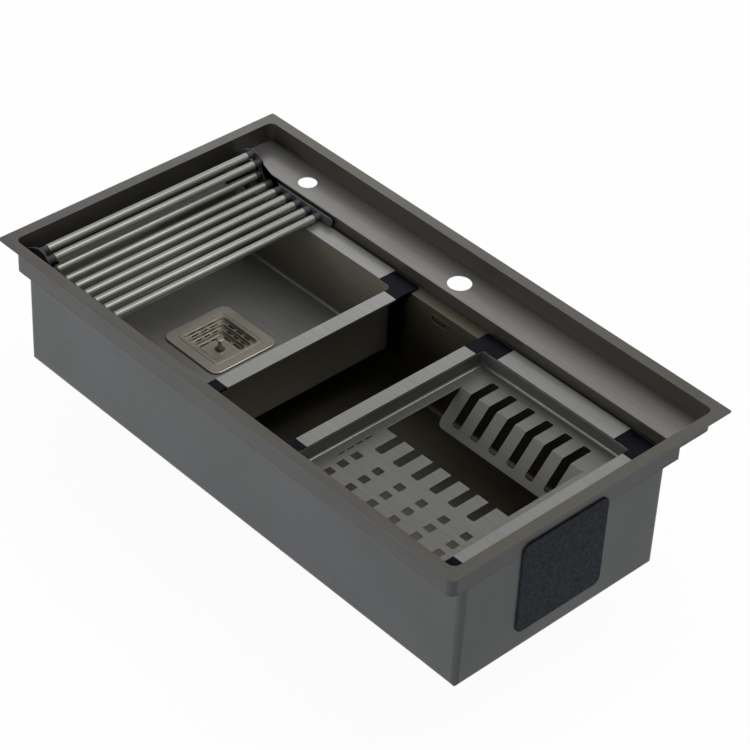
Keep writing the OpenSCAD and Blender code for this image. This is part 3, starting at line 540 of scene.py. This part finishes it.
class SINK_OT_drain(bpy.types.Operator):
    """Square drain with its stepped strainer and knob"""
    bl_idname = "sink.drain"
    bl_label = "Drain"
    gasket_share = 0.6          # of the sheet's edge rounding, for the thin gaskets
    lip_play = 0.004            # past the strainer's side: only the bezel's outer edge is further
    lip_width = 0.005           # from there inwards: the strainer turns down further in

    def execute(self, context):
        sizes = context.scene.sink_sizes
        for node in ("drain_bezel_gasket", "drain_clamp_gasket", "drain_clamp",
                     "drain_clamp_screws", "strainer_knob", "strainer_knob_washer"):
            softened(node, sizes.sheet_edge * (self.gasket_share if "gasket" in node else 1.0))
        centre, _, high = middle("drain_sump")
        lip = (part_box("drain_strainer")[1].x - centre.x) + self.lip_play
        top = high.z - 0.0001

        def reach(p):
            return max(abs(p.x - centre.x), abs(p.y - centre.y))

        def outer(p):
            return p.z > top and reach(p) > lip

        def inner(p):
            return p.z > top and reach(p) < lip - self.lip_width

        softened("drain_sump", sizes.sheet_edge, rolled=(sizes.bezel_edge, outer))
        softened("drain_strainer", sizes.sheet_edge, rolled=(sizes.strainer_edge, inner))
        return {"FINISHED"}


class SINK_OT_brackets(bpy.types.Operator):
    """Black corner pieces of the tub and the tray"""
    bl_idname = "sink.brackets"
    bl_label = "Corner pieces"

    def execute(self, context):
        for insert in ("tub", "tray"):
            for corner in ("rear_right", "front_right", "rear_left", "front_left"):
                softened(f"{insert}_bracket_{corner}", context.scene.sink_sizes.bracket_edge)
        return {"FINISHED"}


class SINK_OT_tray(bpy.types.Operator):
    """Dish tray with its plate slots and folded flap"""
    bl_idname = "sink.tray"
    bl_label = "Dish tray"

    def execute(self, context):
        softened("dish_tray", context.scene.sink_sizes.sheet_edge)
        return {"FINISHED"}


class SINK_OT_rack(bpy.types.Operator):
    """Roll-up rack: silicone bands and steel tubes"""
    bl_idname = "sink.rack"
    bl_label = "Roll-up rack"
    bore_ring = 0.006           # an edge ring in the bore, in from the tube's end

    def execute(self, context):
        sizes = context.scene.sink_sizes
        for node in ("rack_strip_rear", "rack_strip_front",
                     "rack_link_3", "rack_link_2", "rack_link_1"):
            softened(node, sizes.band_edge, 3)
        for node in sorted(n for n in frame["nodes"] if n.startswith("rack_tube")):
            self.tube(node, sizes)
        return {"FINISHED"}

    def tube(self, node, sizes):
        """Spins a tube with a bore and rolled ends from half its profile and the mirror of it."""
        centre, low, high = middle(node)
        r, wall, curl = (high.z - low.z) / 2, sizes.tube_wall, sizes.tube_end
        end = [(r - curl * (1 - sin(t)), low.y + curl * (1 - cos(t)))
               for t in (n * pi / 8 for n in range(5))]
        half = [(r - wall, low.y + self.bore_ring), (r - wall, low.y + curl)] + end
        mirror = [(a, low.y + high.y - b) for a, b in reversed(half)]
        profile = [(centre.x, y, centre.z + a) for a, y in half + mirror]
        bm = bmesh.new()
        spun(bm, profile, centre, (0, 1, 0), sizes.tube_sides)
        finished(node + "_finished", bm, node, 50.0)


# Lamps as name, place, width, height and watts: a low wide one in front, so that the bowl's rear
# wall stays dark, one above behind the sink and a weak one behind it at the left
LAMPS = (
    ("key", (-0.5, -2.8, 0.55), 2.4, 0.7, 60.0),
    ("sky", (0.4, 1.1, 2.5), 1.8, 1.8, 50.0),
    ("back", (-1.6, 1.6, 0.9), 1.6, 0.9, 8.0),
)
LAMP_AIM = Vector((0.0, 0.0, -0.1))
STUDIO_LIGHT, STUDIO_TINT = 0.36, (1.0, 0.99, 0.97, 1.0)
FLOOR_REACH, FLOOR_SHADE, FLOOR_ROUGH = 12.0, 0.86, 0.9
FLOOR_GLOW = 0.95                       # share of white that the camera sees, so a shadow stays
TURN, RISE, ROLL = 45.26, 38.48, 3.2    # the camera's angles in degrees
CAMERA_AT = (0.0288, -0.0705, 3.5555)   # to the right, up and back from the rim's middle
RIM_TOP = Vector((0.0, 0.0, 0.002))
SENSOR, FOCUS = 36.0, 2676.0 / 750.0    # millimetres, and focal length in picture widths


class SINK_OT_stage(bpy.types.Operator):
    """Pale floor, soft studio light and the camera at the photograph's angle"""
    bl_idname = "sink.stage"
    bl_label = "Stage"

    def execute(self, context):
        self.floor(context)
        self.world(context)
        for lamp in LAMPS:
            self.lamp(context, *lamp)
        self.camera(context)
        return {"FINISHED"}

    def floor(self, context):
        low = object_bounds()[0]
        z = low[2] - context.scene.sink_sizes.floor_drop
        bm = bmesh.new()
        bmesh.ops.create_grid(bm, x_segments=1, y_segments=1, size=FLOOR_REACH,
                              matrix=Matrix.Translation((0, 0, z)))
        mesh = bpy.data.meshes.new("floor")
        bm.to_mesh(mesh)
        bm.free()
        obj = bpy.data.objects.new("floor", mesh)
        context.scene.collection.objects.link(obj)
        f = Finish("pale_floor")
        f.set(Base_Color=(FLOOR_SHADE, FLOOR_SHADE, FLOOR_SHADE, 1.0), Roughness=FLOOR_ROUGH)
        glow = f.add("ShaderNodeEmission", Color=WHITE, Strength=1.0)
        both = f.add("ShaderNodeMixShader")
        f.feed(both.inputs[0], f.math("MULTIPLY", self.seen(f.tree), FLOOR_GLOW))
        f.feed(both.inputs[1], f.shader.outputs[0])
        f.feed(both.inputs[2], glow.outputs[0])
        f.feed(f.tree.nodes["Material Output"].inputs["Surface"], both.outputs[0])
        mesh.materials.append(f.material)
        obj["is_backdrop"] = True

    def seen(self, tree):
        """1 for camera, glossy and transmission rays, else 0"""
        path = tree.nodes.new("ShaderNodeLightPath")
        total = path.outputs["Is Camera Ray"]
        for other in ("Is Glossy Ray", "Is Transmission Ray"):
            biggest = tree.nodes.new("ShaderNodeMath")
            biggest.operation = "MAXIMUM"
            tree.links.new(total, biggest.inputs[0])
            tree.links.new(path.outputs[other], biggest.inputs[1])
            total = biggest.outputs[0]
        return total

    def world(self, context):
        """Soft light all round, which the camera and reflections see as plain white."""
        world = bpy.data.worlds.new("studio")
        context.scene.world = world
        world.use_nodes = True
        tree = world.node_tree
        light = tree.nodes["Background"]
        light.inputs["Color"].default_value = STUDIO_TINT
        light.inputs["Strength"].default_value = STUDIO_LIGHT
        white = tree.nodes.new("ShaderNodeBackground")
        white.inputs["Color"].default_value = WHITE
        white.inputs["Strength"].default_value = 1.0
        both = tree.nodes.new("ShaderNodeMixShader")
        tree.links.new(self.seen(tree), both.inputs[0])
        tree.links.new(light.outputs[0], both.inputs[1])
        tree.links.new(white.outputs[0], both.inputs[2])
        tree.links.new(both.outputs[0], tree.nodes["World Output"].inputs["Surface"])

    def lamp(self, context, name, at, wide, high, watts):
        data = bpy.data.lights.new(name, "AREA")
        data.shape = "RECTANGLE"
        data.size, data.size_y = wide, high
        data.energy = watts
        obj = bpy.data.objects.new(name, data)
        context.scene.collection.objects.link(obj)
        obj.location = at
        obj.rotation_euler = (LAMP_AIM - Vector(at)).to_track_quat("-Z", "Y").to_euler()

    def camera(self, context):
        """Solved from the rim's corners and the body's upright edges in a 750 x 750 picture."""
        turn, rise, roll = radians(TURN), radians(RISE), radians(ROLL)
        back = Vector((sin(turn) * cos(rise), -cos(turn) * cos(rise), sin(rise)))
        level = Vector((cos(turn), sin(turn), 0.0))
        over = back.cross(level)
        right = cos(roll) * level + sin(roll) * over
        up = cos(roll) * over - sin(roll) * level
        data = bpy.data.cameras.new("camera")
        data.sensor_width = SENSOR
        data.lens = FOCUS * SENSOR
        data.clip_end = 50.0
        obj = bpy.data.objects.new("camera", data)
        context.scene.collection.objects.link(obj)
        spot = CAMERA_AT[0] * right + CAMERA_AT[1] * up + CAMERA_AT[2] * back + RIM_TOP
        facing = Matrix((right, up, back)).transposed().to_4x4()
        obj.matrix_world = Matrix.Translation(spot) @ facing
        context.scene.camera = obj


class SINK_PT_panel(bpy.types.Panel):
    """Lists the sink's pieces, sizes and colours"""
    bl_idname = "SINK_PT_panel"
    bl_label = "Kitchen Sink"
    bl_space_type = "VIEW_3D"
    bl_region_type = "UI"
    bl_category = "Sink"

    def draw(self, context):
        for operator in OPERATORS:
            self.layout.operator(operator.bl_idname)
        for group in (context.scene.sink_sizes, context.scene.sink_colours):
            box = self.layout.box()
            for name in group.__annotations__:
                box.prop(group, name)


OPERATORS = (SINK_OT_shell, SINK_OT_pads, SINK_OT_overflow, SINK_OT_waste, SINK_OT_tub,
             SINK_OT_drain, SINK_OT_brackets, SINK_OT_tray, SINK_OT_rack, SINK_OT_stage)
CLASSES = (SinkSizes, SinkColours) + OPERATORS + (SINK_PT_panel,)


def register():
    for c in CLASSES:
        bpy.utils.register_class(c)
    bpy.types.Scene.sink_sizes = PointerProperty(type=SinkSizes)
    bpy.types.Scene.sink_colours = PointerProperty(type=SinkColours)


def unregister():
    del bpy.types.Scene.sink_sizes
    del bpy.types.Scene.sink_colours
    for c in reversed(CLASSES):
        bpy.utils.unregister_class(c)


def main():
    register()
    scene = bpy.context.scene
    scene.view_settings.view_transform = "Standard"
    make_finishes(scene.sink_colours)
    for operator in OPERATORS:
        group, name = operator.bl_idname.split(".")
        getattr(getattr(bpy.ops, group), name)()


if __name__ == "__main__":
    main()
